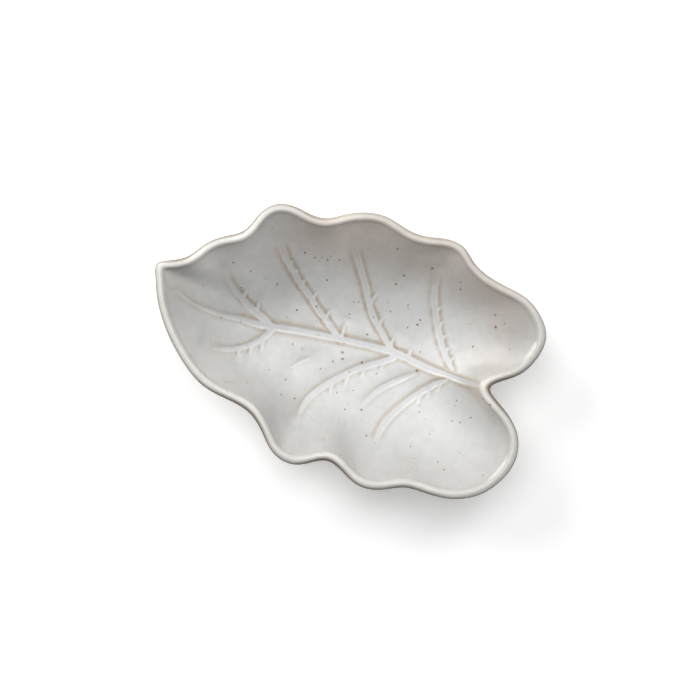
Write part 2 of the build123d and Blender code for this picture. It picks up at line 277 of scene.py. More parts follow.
# Spacing of the glaze's points: lattice step at the veins, doubled twice away from them, how far from the
# veins and specks the finer steps reach, and how close together two points may lie
fine_step = 0.30 * mm
fine_reach = 0.95 * mm
middle_reach = 2.0 * mm
speck_reach = 0.45 * mm
merge_distance = 1e-9

# Points round the lip, rings over it and down the outside, and rings just inside it as shares up the wall
rim_count = 480
lip_ring_count = 10
outside_ring_count = 12
rim_strip_shares = (0.993, 0.986, 0.979, 0.972, 0.96)

# Steps of a vein's line between two of its pixels. Search for a point on the wall: its starting grid, its
# small steps round and up the wall as shares, and its rounds. Rounds that find what a pixel sees.
line_steps = 4
stations_per_turn = 216
shares_in_wall = 24
turn_step_share = 1e-5
share_step = 1e-4
search_rounds = 6
sight_rounds = 3

# Distance from the veins for points that none is near, and limits of the distances that are stored at the
# points: from a vein or speck, and along the surface from the lip
far_gap = 10 * mm
near_limit_mm = 5
far_limit_mm = 40


def unit(vectors):
    """The same directions with a length of one."""
    return vectors / np.linalg.norm(vectors, axis=-1, keepdims=True)


def smoothstep(value, start, end):
    """Smooth climb from 0 where value is at start to 1 where it is at end."""
    share = np.clip((value - start) / (end - start), 0, 1)
    return share * share * (3 - 2 * share)


def outline_normals(points):
    """Outward directions at the points of a closed clockwise outline, longer at a sharp turn."""
    arriving = unit(points - np.roll(points, 1, axis=0))
    leaving = unit(np.roll(points, -1, axis=0) - points)
    along = unit(arriving + leaving)
    return np.stack([-along[:, 1], along[:, 0]], axis=1) / np.sum(along * arriving, axis=1, keepdims=True)


# Profiles of the bowl, one at each point of the rim: lip centre, even run of the lip without its waves,
# floor edge, outward normals and height
rim_points = np.array(rim_thousandths) / 1000 * (leaf_length, leaf_width)
rim_normals = outline_normals(rim_points)
lip_points = rim_points - rim_normals * lip_radius
even_points = lip_points
for _ in range(smoothing_passes):
    before, after = np.roll(even_points, 1, axis=0), np.roll(even_points, -1, axis=0)
    even_points = (before + even_points * 2 + after) / 4
even_normals = outline_normals(even_points)
floor_points = even_points * floor_share
swells = np.sum((lip_points - even_points) * rim_normals, axis=1)
lip_heights = dish_height - lip_radius - rim_wave * (1 + swells / np.abs(swells).max()) / 2
floor_height = base_height + floor_thickness
rises = lip_heights - floor_height
wall_lengths = np.hypot(np.linalg.norm(even_points - floor_points, axis=1), rises)
spacings = np.linalg.norm(np.roll(lip_points, -1, axis=0) - lip_points, axis=1)
stations = np.concatenate([[0], np.cumsum(spacings)])
rim_turn = stations[-1]


def spline_curvature():
    """Matrix that gives a closed smooth curve's second derivatives at the rim's points from its values."""
    count = len(spacings)
    system = np.zeros((count, count))
    change = np.zeros((count, count))
    for i in range(count):
        before, after = spacings[i - 1], spacings[i]
        following = (i + 1) % count
        system[i, i - 1] += before
        system[i, i] += 2 * (before + after)
        system[i, following] += after
        change[i, i - 1] += 6 / before
        change[i, i] -= 6 / before + 6 / after
        change[i, following] += 6 / after
    return np.linalg.solve(system, change)


curvature = spline_curvature()


def rim_weights(places):
    """How much each profile counts at places along the lip, on a closed smooth curve."""
    count = len(spacings)
    places = np.mod(places, rim_turn)
    index = np.clip(np.searchsorted(stations, places, side="right") - 1, 0, count - 1)
    following = (index + 1) % count
    step = spacings[index]
    back = (stations[index + 1] - places) / step
    front = 1 - back
    weights = curvature[index] * ((back**3 - back) * step**2 / 6)[:, None]
    weights += curvature[following] * ((front**3 - front) * step**2 / 6)[:, None]
    rows = np.arange(len(places))
    weights[rows, index] += back
    weights[rows, following] += front
    return weights


def wall_plans(shares):
    """Plan point, direction outward and slope of every profile at each share of the way up the wall."""
    share = shares[:, None, None]
    wave_share = share ** (wave_power - 1)
    points = floor_points + (even_points - floor_points) * share
    points = points + (lip_points - even_points) * wave_share * share
    sides = even_normals * (1 - wave_share) + rim_normals * wave_share
    paces = even_points - floor_points + (lip_points - even_points) * wave_share * wave_power
    runs = np.sum(paces * unit(sides), axis=-1)
    slopes = np.arctan2(rises * climb_power * shares[:, None] ** (climb_power - 1), runs)
    return points, sides, slopes


def wall_profiles(shares, depth):
    """Points of every profile at each share of the way up the wall, at a depth under the inside."""
    points, sides, slopes = wall_plans(shares)
    reach = depth - lip_radius * shares[:, None]
    heights = floor_height + rises * shares[:, None] ** climb_power - np.cos(slopes) * reach
    plans = points + sides * (np.sin(slopes) * reach)[..., None]
    return np.concatenate([plans, heights[..., None]], axis=-1)


def wall_surface(places, shares):
    """Points of the bowl's inside at places along the lip and shares of the way up."""
    return np.einsum("nk,nkc->nc", rim_weights(places), wall_profiles(shares, 0))


def ring_of(profile_points):
    """Ring of evenly spaced points through one point on every profile."""
    return rim_weights(np.arange(rim_count) * (rim_turn / rim_count)) @ profile_points


def wall_ring(share, depth=0):
    """Ring round the bowl at a share of the way up the wall, at a depth under the inside."""
    return ring_of(wall_profiles(np.array([share]), depth)[0])


def lip_ring(angle):
    """Ring on the lip, from its inner side at 0 over the top to its outer side at 180."""
    points, sides, slopes = [values[0] for values in wall_plans(np.array([1.0]))]
    turns = slopes + math.radians(90 - angle)
    points = points + sides * (np.cos(turns) * lip_radius)[:, None]
    return ring_of(np.column_stack([points, lip_heights + np.sin(turns) * lip_radius]))


def within(points, outline):
    """Which points lie inside a closed outline."""
    inside = np.zeros(len(points), bool)
    x, y = points[:, 0], points[:, 1]
    for (x1, y1), (x2, y2) in zip(outline, np.roll(outline, -1, axis=0)):
        if y1 != y2:
            inside ^= ((y1 > y) != (y2 > y)) & (x < (x2 - x1) * (y - y1) / (y2 - y1) + x1)
    return inside


def curve_through(points, steps):
    """Smooth open curve through rows of numbers, with a number of steps from each to the next."""
    rows = np.concatenate([[points[0] * 2 - points[1]], points, [points[-1] * 2 - points[-2]]])
    share = np.arange(steps)[:, None] / steps
    pieces = []
    for before, start, end, after in zip(rows, rows[1:], rows[2:], rows[3:]):
        bend = share * (end - before) + share**2 * (before * 2 - start * 5 + end * 4 - after)
        pieces.append(start + (bend + share**3 * (start * 3 - before - end * 3 + after)) / 2)
    return np.concatenate(pieces + [points[-1:]])


def cross_size(first, second):
    """Area between two plan directions, above zero where the second points to the left of the first."""
    return first[0] * second[1] - first[1] * second[0]


def strips():
    """Every vein and barb: line, half widths, break shares left and right, end depths, fade, if a barb."""
    made = []
    for name, vein in vein_pixels.items():
        widths = np.array([pixel[2] for pixel in vein]) * pixel_size
        line = curve_through(np.column_stack([seen_on_inside(vein), widths / 2]), line_steps)
        *breaks, root_depth = vein_finish_shares[name]
        tip_depth = 1.0 if name == "midrib" else free_end_depth_share
        made.append((line[:, :2], line[:, 2], breaks, (root_depth, tip_depth), end_fade, False))
        for pixels in barb_pixels.get(name, ()):
            barb = seen_on_inside((pixels[:2], pixels[2:]))
            half_widths = np.array([barb_width, barb_tip_width]) / 2
            side = cross_size(line[-1, :2] - line[0, :2], barb[1] - barb[0]) > 0
            strength = breaks[0] if side else breaks[1]
            weak = strength * barb_root_side_share
            shares = (weak, strength) if side else (strength, weak)
            made.append((barb, half_widths, shares, (1.0, barb_end_depth_share), barb_fade, True))
    return made


def wedges():
    """Every wedge of brown: its line, half widths and strength."""
    made = []
    for x1, y1, x2, y2, width, strength in wedge_pixels:
        half_widths = np.array([wedge_root_px, width]) / 2 * pixel_size
        made.append((seen_on_inside(((x1, y1), (x2, y2))), half_widths, strength))
    return made


def strip_places(points, line, half_widths):
    """Distance from a strip's edge, lengths run from its root and left to its tip, and the side."""
    best = np.full(len(points), np.inf)
    reached = np.zeros(len(points))
    left = np.zeros(len(points), bool)
    passed = 0.0
    for start, end, first, last in zip(line, line[1:], half_widths, half_widths[1:]):
        way = end - start
        length = np.linalg.norm(way)
        share = np.clip((points - start) @ way / length**2, 0, 1)
        across = points - start - share[:, None] * way
        gap = np.linalg.norm(across, axis=1) - (first + (last - first) * share)
        closer = gap < best
        best = np.where(closer, gap, best)
        reached = np.where(closer, passed + share * length, reached)
        left = np.where(closer, cross_size(way, across.T) > 0, left)
        passed += length
    return best, reached, passed - reached, left


def photo_points(pixels, depth=0.0):
    """Plan points seen at pixels of the photograph, at depths under the top of the dish."""
    pixels = np.array([pixel[:2] for pixel in pixels], float) - dish_middle_px
    aim_pixel = np.full(2, photo_width_px / 2) - dish_middle_px
    depth = np.broadcast_to(depth, len(pixels))[:, None]
    across = aim_pixel + (pixels - aim_pixel) * (1 + depth / camera_distance)
    points = (photo_right * across[:, :1] - photo_up * across[:, 1:]) * pixel_size
    return points + photo_up * depth / math.tan(math.radians(camera_elevation))


def inside_heights(points):
    """Heights of the bowl's inside at plan points, and their places and shares on the wall."""
    flat = within(points, wall_ring(0.0)[:, :2])
    heights = np.full(len(points), floor_height)
    place, share = np.zeros((2, len(points)))
    if not flat.all():
        place[~flat], share[~flat] = wall_places(points[~flat])
        heights[~flat] = wall_surface(place[~flat], share[~flat])[:, 2]
    return heights, place, share


def seen_on_inside(pixels):
    """Plan points of the bowl's inside that are seen at pixels of the photograph."""
    points = photo_points(pixels)
    for _ in range(sight_rounds):
        points = photo_points(pixels, dish_height - inside_heights(points)[0])
    return points


def hand_waves(points):
    """Small uneven heights of a surface pressed by hand."""
    scaled = points / hand_wave_length
    return np.array([(noise.noise(Vector(point)) + 1) / 2 for point in scaled]) * hand_wave_height


def speck_distance(points):
    """Distance of plan points from the edge of the nearest larger speck."""
    best = np.full(len(points), np.inf)
    for centre, (_, _, width) in zip(speck_points, speck_pixels):
        gap = np.linalg.norm(points - centre, axis=1)
        best = np.minimum(best, gap - width * pixel_size / 2)
    return best


def painted_light_shade_tones(points):
    """Painted light and shade on the glaze at plan points, as a share of its colour, 1 away from its
    patches.
    """
    tone = np.ones(len(points))
    for centre, (_, _, reach, change) in zip(seen_on_inside(painted_light_shade_pixels), painted_light_shade_pixels):
        gap = np.linalg.norm(points - centre, axis=1) / (reach * pixel_size)
        tone += change * np.exp(-gap**2)
    return tone


def vein_fields(points):
    """At plan points: distance from the veins' edge, depth of groove and strength of break, 0 to 1."""
    edge = np.full(len(points), far_gap)
    ground = np.ones(len(points))
    plain = np.ones(len(points))
    for line, half_widths, breaks, depths, fade, barb in vein_strips:
        low, high = line.min(axis=0) - far_gap, line.max(axis=0) + far_gap
        near = np.flatnonzero(np.all((points > low) & (points < high), axis=1))
        gap, from_root, to_tip, left = strip_places(points[near], line, half_widths)
        edge[near] = np.minimum(edge[near], gap)
        depth = 1 + (depths[1] - 1) * (1 - smoothstep(to_tip, 0, fade))
        if not barb:
            depth = depth + (depths[0] - 1) * (1 - smoothstep(from_root, 0, fade))
        groove = 1 - smoothstep(gap, -np.minimum(shoulder_inside, half_widths.max()), shoulder_outside)
        ground[near] *= 1 - np.clip(depth, 0, 1) * groove
        tip_share = from_root / (from_root + to_tip)
        reach = break_reach + (break_tip_reach - break_reach) * (0 if barb else tip_share**2)
        faded = smoothstep(to_tip, 0, barb_fade if barb else break_fade)
        weaker = smoothstep(tip_share, *barb_break_end_shares) if barb else tip_fade_share * tip_share**2
        strength = np.where(left, breaks[0], breaks[1]) * faded * (1 - weaker)
        bump = smoothstep(gap, -break_start, break_start) * (1 - smoothstep(gap, break_start, reach))
        plain[near] *= 1 - strength * bump
    for line, half_widths, strength in wedge_strips:
        gap, from_start, to_end, _ = strip_places(points, line, half_widths)
        taper = smoothstep(to_end / (from_start + to_end), *wedge_end_shares)
        plain *= 1 - strength * taper * (1 - smoothstep(gap, -wedge_softness, wedge_softness))
    return edge, 1 - ground, 1 - plain


def inside_lattice(outline):
    """Plan points inside an outline, close together at the veins and specks and wider apart elsewhere."""
    row_step = fine_step * math.sqrt(3) / 2
    rows = np.arange(-math.ceil(leaf_width / row_step), math.ceil(leaf_width / row_step) + 1)
    columns = np.arange(-math.ceil(leaf_length / fine_step), math.ceil(leaf_length / fine_step) + 1)
    column, row = [grid.ravel() for grid in np.meshgrid(columns, rows)]
    points = np.column_stack([(column + row / 2) * fine_step, row * row_step])
    kept = np.flatnonzero(np.all(np.abs(points) < np.array([leaf_length, leaf_width]) / 2, axis=1))
    kept = kept[within(points[kept], outline)]
    points, column, row = points[kept], column[kept], row[kept]
    edge = vein_fields(points)[0]
    fine = (edge < fine_reach) | (speck_distance(points) < speck_reach)
    middle = (edge < middle_reach) & (column % 2 == 0) & (row % 2 == 0)
    coarse = (column % 4 == 0) & (row % 4 == 0)
    return points[fine | middle | coarse]


def wall_grid():
    """Places and shares of a grid on the wall, and a tree that finds its nearest point in plan."""
    places = np.repeat(np.arange(stations_per_turn) * (rim_turn / stations_per_turn), shares_in_wall)
    shares = np.tile(np.arange(shares_in_wall) / (shares_in_wall - 1), stations_per_turn)
    table = wall_surface(places, shares)
    tree = kdtree.KDTree(len(table))
    for i, point in enumerate(table):
        tree.insert((point[0], point[1], 0), i)
    tree.balance()
    return places, shares, tree


def wall_places(points):
    """Place along the lip and share of the way up for plan points on the wall."""
    places, shares, tree = grid_on_wall
    nearest = np.array([tree.find((x, y, 0))[1] for x, y in points])
    place, share = places[nearest], shares[nearest]
    place_step = rim_turn * turn_step_share
    for _ in range(search_rounds):
        here = wall_surface(place, share)[:, :2]
        by_place = ((wall_surface(place + place_step, share)[:, :2] - here) / place_step).T
        by_share = ((wall_surface(place, share + share_step)[:, :2] - here) / share_step).T
        missing = (points - here).T
        area = cross_size(by_place, by_share)
        place = place + cross_size(missing, by_share) / area
        share = np.clip(share + cross_size(by_place, missing) / area, 0, 1)
    return place, share


def inside_surface():
    """The bowl's inside before its veins, with a first ring at the lip's inner corner: points, triangles,
    and each point's distance past that corner along the surface."""
    rings = [wall_ring(share) for share in (1.0, *rim_strip_shares)]
    lattice = inside_lattice(rings[-1][:, :2] * rim_strip_shares[-1])
    heights, place, share = inside_heights(lattice)
    points = np.concatenate(rings + [np.column_stack([lattice, heights])])
    steps = np.cumsum([0] + [np.linalg.norm(a - b, axis=1).mean() for a, b in zip(rings, rings[1:])])
    lattice_past = -(rim_weights(place) @ wall_lengths) * (1 - share)
    past_lip = np.concatenate([np.repeat(-steps, rim_count), lattice_past])

    loop = list(range(rim_count))
    edges = list(zip(loop, loop[1:] + loop[:1]))
    plan = [Vector(point[:2]) for point in points]
    triangles = np.array(geometry.delaunay_2d_cdt(plan, edges, [], 0, merge_distance)[2])
    middles = points[triangles].mean(axis=1)[:, :2]
    return points, triangles[within(middles, rings[0][:, :2])], past_lip


def outer_rings():
    """Rings over the lip, down the outside and at the glaze line."""
    rings = [lip_ring(180 * (i + 1) / lip_ring_count) for i in range(lip_ring_count)]
    for i in range(outside_ring_count):
        share = 1 - (1 - outside_end_share) * (i + 1) / outside_ring_count
        rings.append(wall_ring(share, lip_radius * 2))
    points = wall_plans(np.array([base_share]))[0][0]
    return rings + [ring_of(np.column_stack([points, np.full(len(points), glaze_line_height)]))]


def band_between(ring, following):
    """Triangles between two rings of points, which are given by their numbers."""
    after, after_following = np.roll(ring, -1), np.roll(following, -1)
    return np.concatenate([
        np.column_stack([ring, after, following]), np.column_stack([after, after_following, following]),
    ])


def glaze_surface():
    """The glazed surface before its veins: points, triangles, each point's distance past the lip's inner
    corner along the surface, and the numbers of its last ring."""
    points, triangles, past_lip = inside_surface()
    ring_before = points[:rim_count]
    last = np.arange(rim_count)
    passed = 0.0
    for ring in outer_rings():
        new = np.arange(rim_count) + len(points)
        passed += np.linalg.norm(ring - ring_before, axis=1).mean()
        points = np.concatenate([points, ring])
        past_lip = np.concatenate([past_lip, np.full(rim_count, passed)])
        triangles = np.concatenate([triangles, band_between(last, new)])
        last = new
        ring_before = ring
    return np.clip(points, coat_low, coat_high), triangles, past_lip, last


def point_normals(points, triangles):
    """Normals at the points of a mesh, weighted by area."""
    corners = points[triangles]
    face = np.cross(corners[:, 1] - corners[:, 0], corners[:, 2] - corners[:, 0])
    normals = np.zeros(points.shape)
    for corner in range(3):
        np.add.at(normals, triangles[:, corner], face)
    return unit(normals)


def add_object(name, data):
    """New object in the scene."""
    made = bpy.data.objects.new(name, data)
    bpy.context.scene.collection.objects.link(made)
    return made


def mesh_piece(name, points, triangles, attributes, normals):
    """Mesh object with numbers stored at its points, and its own normals."""
    mesh = bpy.data.meshes.new(name)
    mesh.from_pydata(points.tolist(), [], triangles.tolist())
    mesh.polygons.foreach_set("use_smooth", np.ones(len(triangles), bool))
    for key, values in attributes.items():
        made = mesh.attributes.new(key, "FLOAT", "POINT")
        made.data.foreach_set("value", values.astype(np.float32))
    mesh.normals_split_custom_set_from_vertices(normals.tolist())
    mesh.update()
    return add_object(name, mesh)


def coat_piece(channel, normals, triangles, last_ring, dry, fields):
    """The coat of glaze as a closed thin shell under the channels of its veins."""
    count = len(channel)
    shell_points = np.concatenate([channel, channel - normals * coat_thickness])
    edge_band = band_between(last_ring, last_ring + count)
    shell_triangles = np.concatenate([triangles, triangles[:, ::-1] + count, edge_band])
    shell_normals = point_normals(shell_points, shell_triangles)
    shell_normals[:count][dry] = normals[dry]
    both = {key: np.tile(values, 2) for key, values in fields.items()}
    return mesh_piece("glaze_skin", shell_points, shell_triangles, both, shell_normals)


def pool_piece(surface, channel, normals, triangles, dry, fields):
    """The glaze pooled in the veins, between the surface and their channels."""
    wet_triangles = triangles[np.any(~dry[triangles], axis=1)]
    used = np.unique(wet_triangles)
    renumber = np.full(len(surface), -1)
    renumber[used] = np.arange(len(used))
    below = np.where(dry[used], np.arange(len(used)), np.cumsum(~dry[used]) - 1 + len(used))
    wet_used = used[~dry[used]]
    top = renumber[wet_triangles]
    pool_points = np.concatenate([surface[used], channel[wet_used]])
    pool_triangles = np.concatenate([top, below[top][:, ::-1]])
    pool_normals = np.concatenate([normals[used], -normals[wet_used]])
    picked = {key: np.concatenate([values[used], values[wet_used]]) for key, values in fields.items()}
    return mesh_piece("vein_glaze_pools", pool_points, pool_triangles, picked, pool_normals)


def glaze_pieces():
    """The coat of glaze and the glaze pooled in its veins."""
    points, triangles, past_lip, last_ring = glaze_surface()
    inside = past_lip < 0
    edge = np.full(len(points), far_gap)
    groove, broken = np.zeros((2, len(points)))
    edge[inside], groove[inside], broken[inside] = vein_fields(points[inside, :2])
    calm = 1 - smoothstep(past_lip, calm_from, calm_to)
    rise = hand_waves(points) + smoothstep(edge, 0, cushion_reach) * cushion_height
    bead = smoothstep(past_lip, bead_start, bead_top) * (1 - smoothstep(past_lip, bead_top, bead_end))
    raised = rise * calm + bead * bead_height - groove * groove_depth
    surface = points + point_normals(points, triangles) * raised[:, None]
    normals = point_normals(surface, triangles)
    pooled = smoothstep(-edge, 0, pool_slope) * pool_depth * groove
    pooled[pooled < thinnest_pool] = 0
    channel = surface - normals * pooled[:, None]
    dry = pooled == 0
    fields = {
        "edge_mm": np.clip(edge / mm, -near_limit_mm, near_limit_mm),
        "groove_share": groove,
        "break_share": broken,
        "past_lip_mm": np.clip(past_lip / mm, -far_limit_mm, far_limit_mm),
        "speck_mm": np.clip(speck_distance(points[:, :2]) / mm, -near_limit_mm, near_limit_mm),
        # painted light and shade on the glaze, stored at the points
        "painted_light_shade_share": painted_light_shade_tones(points[:, :2]),
    }
    coat = coat_piece(channel, normals, triangles, last_ring, dry, fields)
    return coat, pool_piece(surface, channel, normals, triangles, dry, fields)


def linear_colour(red, green, blue):
    """Colour for a shader from the red, green and blue of a screen, 0 to 255."""
    values = []
    for level in (red, green, blue):
        share = level / 255
        values.append(share / 12.92 if share <= 0.04045 else ((share + 0.055) / 1.055) ** 2.4)
    return (*values, 1.0)


class Shader:
    """A new material with one glossy shader, and short calls that add the nodes before it."""

    def __init__(self, name):
        self.material = bpy.data.materials.new(name)
        self.material.use_nodes = True
        self.tree = self.material.node_tree
        self.surface = self.tree.nodes["Principled BSDF"]

    def put(self, socket, value):
        """Sets a socket to a number or a screen's colour, or links it to another node's output."""
        if isinstance(value, bpy.types.NodeSocket):
            self.tree.links.new(value, socket)
        else:
            socket.default_value = linear_colour(*value) if isinstance(value, tuple) else value

    def add(self, kind, values, **settings):
        """New node with its settings, and its inputs by name or number."""
        made = self.tree.nodes.new(kind)
        for key, value in settings.items():
            setattr(made, key, value)
        for key, value in values.items():
            self.put(made.inputs[key], value)
        return made

    def math(self, operation, first, second):
        """Result of an operation on two numbers."""
        return self.add("ShaderNodeMath", {0: first, 1: second}, operation=operation).outputs[0]

    def product(self, first, *others):
        """Product of several numbers."""
        for other in others:
            first = self.math("MULTIPLY", first, other)
        return first

    def field(self, name):
        """A number stored at the points of the mesh."""
        return self.add("ShaderNodeAttribute", {}, attribute_name=name).outputs["Fac"]

    def climb(self, value, start, end, low=0.0, high=1.0):
        """Smooth climb from low where value is at start to high where it is at end."""
        values = {"Value": value, "From Min": start, "From Max": end, "To Min": low, "To Max": high}
        made = self.add("ShaderNodeMapRange", values, interpolation_type="SMOOTHSTEP")
        return made.outputs["Result"]

    def mix(self, factor, first, second):
        """Colour between two others."""
        made = self.add("ShaderNodeMix", {"Factor": factor}, data_type="RGBA")
        sockets = [socket for socket in made.inputs if socket.type == "RGBA"]
        self.put(sockets[0], first)
        self.put(sockets[1], second)
        return [socket for socket in made.outputs if socket.type == "RGBA"][0]

    def position(self):
        """Place in the part's own frame, in metres."""
        return self.add("ShaderNodeTexCoord", {}).outputs["Object"]

    def grain(self, size, detail=2.0, roughness=0.5):
        """Cloudy noise with features of a size in metres, from 0 to 1."""
        values = {"Vector": self.position(), "Scale": 1 / size, "Detail": detail, "Roughness": roughness}
        return self.add("ShaderNodeTexNoise", values).outputs["Fac"]

    def cloudy(self, size, low, high, detail=2.0, roughness=0.5, spread=0.2):
        """Cloudy noise that climbs from low to high over a spread to each side of its middle value."""
        return self.climb(self.grain(size, detail, roughness), 0.5 - spread, 0.5 + spread, low, high)

    def complete(self, colour, roughness, grain, depth, strength):
        """The finished material, with a colour, a roughness and a grain's bumps of a depth."""
        height = self.grain(*grain)
        bump = self.add("ShaderNodeBump", {"Height": height, "Distance": depth, "Strength": strength})
        self.put(self.surface.inputs["Base Color"], colour)
        self.put(self.surface.inputs["Roughness"], roughness)
        self.put(self.surface.inputs["Normal"], bump.outputs["Normal"])
        return self.material


# Colours of the glaze, its breaks and specks, and of the bare clay, as they look on a screen in even light
ground_colour = (219, 219, 217)
wall_colour = (201, 200, 197)
warm_shaded_wall_colour = (202, 194, 186)
lip_side_colour = (194, 185, 172)
pool_colour = (221, 222, 222)
break_colour = (188, 172, 151)
speck_colour = (142, 97, 54)
faint_speck_colour = (182, 158, 126)
clay_colour = (205, 190, 168)
clay_dark_colour = (170, 146, 118)

# Bands over the lip, from its inner side down the outside: where each starts to show and is full, in
# millimetres past the lip's inner corner, its colour, and its colour on the warm, shaded +Y side
lip_bands = (
    # The lip's inner side: its pale colour is a painted highlight; on the +Y side it is darker, partly
    # thin glaze, partly painted shade
    (-1.1, 0.0, (222, 219, 213), (206, 200, 191)),
    # The lip's top: paler than the glaze as a painted highlight, less so on the +Y side
    (0.1, 0.9, (230, 228, 223), (217, 210, 202)),
    (1.6, 2.4, lip_side_colour, None),
    # Dark line down the lip's outer side: partly a glaze break, partly painted shade, darkest away from
    # the +Y side
    (2.4, 3.0, (126, 115, 101), (168, 157, 143)),
    (4.6, 6.0, (208, 205, 198), None),
)

# Each climb has its start and end, and its values there if they aren't 0 and 1. These are in the same
# millimetres: the wall's colour, weaker pools up the wall, the brown inside the lip with its painted
# shade, and the lip's gloss.
wall_climb = (-26.0, -1.5)
pools_weaken_climb = (-38.0, -8.0, 0.9, 0.2)
inner_brown_shade_climb = (-1.1, -0.1)
inner_brown_shade_end_climb = (0.1, 0.7, 1.0, 0.0)
lip_gloss_climb = (-1.9, -0.8, 1.0, 0.4)

# Climbs with the groove's depth: the pool's colour and the end of the brown beside it. With distance from
# an edge in mm: a vein's darker middle and a speck's soft edge. With the warm, shaded +Y side: the brown
# inside the lip, stronger there as painted shade.
pool_climb = (0.25, 0.85)
brown_end_climb = (0.45, 0.75, 1.0, 0.0)
vein_middle_climb = (-1.25, -0.85, 0.95, 1.0)
speck_climb = (-0.12, 0.10, 1.0, 0.0)
inner_brown_shaded_side_climb = (0.0, 1.0, 0.22, 0.45)

# The glaze is warmer and mostly darker on the wall and lip of the leaf's +Y side, whose inside faces away
# from the lamps:
# partly a warmer glaze, partly painted shade. This fades towards its tip and its notch end. Set to the
# photograph's tones.
warm_shaded_across_climb = (-8 * mm, 22 * mm)
warm_shaded_tip_climb = (-50 * mm, -20 * mm)
warm_shaded_notch_climb = (51 * mm, 71 * mm, 1.0, 0.0)

# Cloudy noises: size of their features, lowest and highest value, and detail, roughness and spread if they
# aren't the usual ones. Bumps: size, detail and roughness of their grain, then their depth and strength.
wall_clouds = (22 * mm, -2.5, 2.5, 3.0)
patches = (2.2 * mm, 0.75, 1.1)
mottle_tones = (3.5 * mm, 0.955, 1.045, 5.0, 0.65, 0.25)
speck_wobble = (0.5 * mm, -0.18, 0.18, 2.0, 0.5, 0.3)
satin_roughness = (6 * mm, 0.30, 0.40, 4.0)
clay_clouds = (5 * mm, 0.0, 1.0, 5.0, 0.6)
clay_roughness = (1 * mm, 0.75, 0.9, 3.0)
glaze_ripples = ((1.6 * mm, 3.0), 0.03 * mm, 0.6)
clay_sand = ((0.5 * mm, 4.0, 0.7), 0.08 * mm, 0.7)

# Strength of the larger specks, and the glaze's refraction. Faint specks and the clay's flecks: size of a
# cell, largest radius as a share of the cell, share of cells with one, and strength.
speck_strength = 0.8
glaze_refraction = 1.5
faint_specks = (2.6 * mm, 0.16, 0.35, 0.6)
clay_flecks = (1.5 * mm, 0.22, 0.35, 0.7)


def with_dust(shader, colour, dust_colour, cell_size, radius_share, chance, strength):
    """Adds scattered round specks to a colour, at most one in a cell of the given size."""
    cells = shader.add("ShaderNodeTexVoronoi", {"Vector": shader.position(), "Scale": 1 / cell_size})
    pick = shader.add("ShaderNodeSeparateColor", {"Color": cells.outputs["Color"]})
    size = shader.product(pick.outputs["Green"], radius_share)
    spot = shader.math("LESS_THAN", cells.outputs["Distance"], size)
    chosen = shader.math("LESS_THAN", pick.outputs["Red"], chance)
    return shader.mix(shader.product(spot, chosen, strength), colour, dust_colour)


def warm_shaded_side_share(shader):
    """How far a point lies in the warm, shaded +Y side, from 0 to 1."""
    place = shader.add("ShaderNodeSeparateXYZ", {"Vector": shader.position()}).outputs
    across = shader.climb(place["Y"], *warm_shaded_across_climb)
    from_tip = shader.climb(place["X"], *warm_shaded_tip_climb)
    return shader.product(across, from_tip, shader.climb(place["X"], *warm_shaded_notch_climb))


def wall_and_lip(shader, past_lip, warm_shaded_side):
    """Colour of the glaze without its veins: the ground, the wall, and the bands over the lip, with
    painted highlight and painted shade.
    """
    # The wall is warmer and a little darker on the +Y side: partly warmer glaze, partly painted shade
    wall = shader.mix(warm_shaded_side, wall_colour, warm_shaded_wall_colour)
    height_up = shader.math("ADD", past_lip, shader.cloudy(*wall_clouds))
    colour = shader.mix(shader.climb(height_up, *wall_climb), ground_colour, wall)
    for start, full, band_colour, warm_shaded_side_colour in lip_bands:
        if warm_shaded_side_colour:
            band_colour = shader.mix(warm_shaded_side, band_colour, warm_shaded_side_colour)
        colour = shader.mix(shader.climb(past_lip, start, full), colour, band_colour)
    return colour


def with_veins(shader, colour, past_lip, warm_shaded_side):
    """Adds the pools' bluish white, the brown beside the veins and the brown of the lip's inner side,
    which is partly painted shade.
    """
    groove = shader.field("groove_share")
    wet = shader.product(shader.climb(groove, *pool_climb), shader.climb(past_lip, *pools_weaken_climb))
    colour = shader.mix(wet, colour, pool_colour)
    patchy = shader.cloudy(*patches)
    beside = shader.climb(groove, *brown_end_climb)
    brown = shader.product(shader.field("break_share"), beside, patchy)
    colour = shader.mix(brown, colour, break_colour)
    # Brown at the lip's inner corner: partly a glaze break, partly painted shade, stronger on the +Y side
    comes = shader.climb(past_lip, *inner_brown_shade_climb)
    goes = shader.climb(past_lip, *inner_brown_shade_end_climb)
    inner = shader.product(comes, goes, shader.climb(warm_shaded_side, *inner_brown_shaded_side_climb), patchy)
    return shader.mix(inner, colour, lip_side_colour)


def with_tones(shader, colour):
    """Lightens and darkens a colour by the mottle, the painted light and shade and the middle of the
    veins.
    """
    mottle = shader.cloudy(*mottle_tones)
    middle = shader.climb(shader.field("edge_mm"), *vein_middle_climb)
    tone = shader.product(shader.field("painted_light_shade_share"), mottle, middle)
    made = shader.add("ShaderNodeVectorMath", {0: colour, "Scale": tone}, operation="SCALE")
    return made.outputs["Vector"]


def with_specks(shader, colour):
    """Adds the larger iron specks with their uneven soft edges, and the faint ones."""
    gap = shader.math("ADD", shader.field("speck_mm"), shader.cloudy(*speck_wobble))
    spot = shader.product(shader.climb(gap, *speck_climb), speck_strength)
    return with_dust(shader, shader.mix(spot, colour, speck_colour), faint_speck_colour, *faint_specks)


